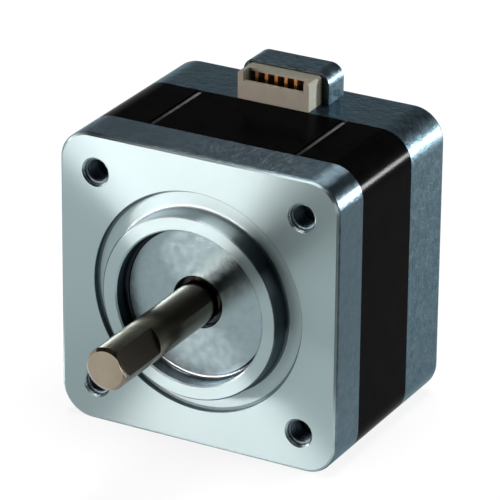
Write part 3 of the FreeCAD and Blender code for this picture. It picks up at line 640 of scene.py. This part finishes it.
def dark_felt():
    surface = Surface("dark_felt", Roughness=0.9)
    surface.colour(surface.blend(surface.noise(20.0 * MM), linear(20, 21, 23), linear(34, 36, 39)))
    return surface.material


def make_floor():
    stage_sheet("floor", square_points(FLOOR_HALF, FLOOR_LEVEL), [(0, 1, 2, 3)], floor_paper())


def curved_card(name, start, end, edges, material):
    """A card bent round the motor, between two edges that each have a distance and a height."""
    points = []
    for panel in range(CARD_PANELS + 1):
        azimuth = start + (end - start) * panel / CARD_PANELS
        for distance, height in edges:
            points.append((distance * math.sin(azimuth), -distance * math.cos(azimuth), height))
    faces = [(2 * n, 2 * n + 1, 2 * n + 3, 2 * n + 2) for n in range(CARD_PANELS)]
    return stage_sheet(name, points, faces, material)


def make_dark_cards():
    """A dark ceiling, and at the front right a dark card and table sheet. The camera sees none of them."""
    felt = dark_felt()
    corners = square_points(CEILING_HALF, CEILING_HEIGHT)
    ceiling = stage_sheet("dark_ceiling", corners, [(3, 2, 1, 0)], felt)
    standing = ((CARD_DISTANCE, FLOOR_LEVEL), (CARD_DISTANCE, CARD_HEIGHT))
    card = curved_card("dark_card", CARD_START, CARD_END, standing, felt)
    lying = ((TABLE_NEAR, FLOOR_LEVEL + TABLE_LIFT), (CARD_DISTANCE, FLOOR_LEVEL + TABLE_LIFT))
    table_card = curved_card("dark_table_card", TABLE_START, TABLE_END, lying, felt)
    table_card.visible_shadow = False
    for sheet in (ceiling, card, table_card):
        sheet.visible_camera = False


def make_world():
    """White to the eye and in reflections, and a dimmer even light for everything else."""
    world = bpy.data.worlds.new("studio")
    bpy.context.scene.world = world
    world.use_nodes = True
    tree = world.node_tree
    background = tree.nodes["Background"]
    background.inputs["Color"].default_value = (1.0, 1.0, 1.0, 1.0)
    level = tree.nodes.new("ShaderNodeMapRange")
    tree.links.new(seen_directly(tree), level.inputs["Value"])
    level.inputs["To Min"].default_value = WORLD_FILL
    level.inputs["To Max"].default_value = WORLD_SEEN
    tree.links.new(level.outputs["Result"], background.inputs["Strength"])


def make_lamp(name, direction, distance, width, height, power, tint=(1.0, 1.0, 1.0)):
    """A soft box that faces the motor from that direction."""
    data = bpy.data.lights.new(name, "AREA")
    data.shape = "RECTANGLE"
    data.size = width
    data.size_y = height
    data.energy = power
    data.color = tint
    lamp = bpy.data.objects.new(name, data)
    bpy.context.scene.collection.objects.link(lamp)
    towards = Vector(direction).normalized()
    lamp.location = towards * distance
    lamp.rotation_euler = (-towards).to_track_quat("-Z", "Y").to_euler()
    lamp.visible_camera = False


CAMERA_DISTANCE = 0.44455
CAMERA_AZIMUTH = math.radians(29.26)
CAMERA_ELEVATION = math.radians(24.56)
LOOK_AZIMUTH = math.radians(28.43)
LOOK_DOWN = math.radians(23.80)
CAMERA_ROLL = math.radians(0.56)
LENS = 288.0
SENSOR = 36.0
CLIP_START = 0.01


def make_camera():
    data = bpy.data.cameras.new("camera")
    data.lens = LENS
    data.sensor_width = SENSOR
    data.clip_start = CLIP_START
    camera = bpy.data.objects.new("camera", data)
    bpy.context.scene.collection.objects.link(camera)
    level = math.cos(CAMERA_ELEVATION)
    camera.location = CAMERA_DISTANCE * Vector(
        (math.sin(CAMERA_AZIMUTH) * level, -math.cos(CAMERA_AZIMUTH) * level, math.sin(CAMERA_ELEVATION))
    )
    turn = Matrix.Rotation(LOOK_AZIMUTH, 4, "Z")
    tilt = Matrix.Rotation(math.pi / 2 - LOOK_DOWN, 4, "X")
    roll = Matrix.Rotation(CAMERA_ROLL, 4, "Z")
    camera.matrix_world = Matrix.Translation(camera.location) @ turn @ tilt @ roll
    bpy.context.scene.camera = camera


make_floor()
make_dark_cards()
make_world()
make_lamp(
    "key_box", (-0.51, -0.85, 0.10), distance=0.7, width=0.56, height=0.12, power=5.0, tint=WARM_WHITE
)
make_lamp(
    "side_box", (-0.86, -0.50, 0.03), distance=0.8, width=0.36, height=0.05, power=2.6, tint=WARM_WHITE
)
make_lamp("rim_box", (0.59, 0.80, 0.06), distance=0.7, width=0.07, height=0.08, power=8.5)
make_lamp("fill_box", (0.92, 0.25, 0.30), distance=0.8, width=0.4, height=0.3, power=2.6)
make_lamp("top_box", (0.0, 0.1, 1.0), distance=0.8, width=0.5, height=0.5, power=7.0)
make_camera()
bpy.context.scene.view_settings.view_transform = "Standard"
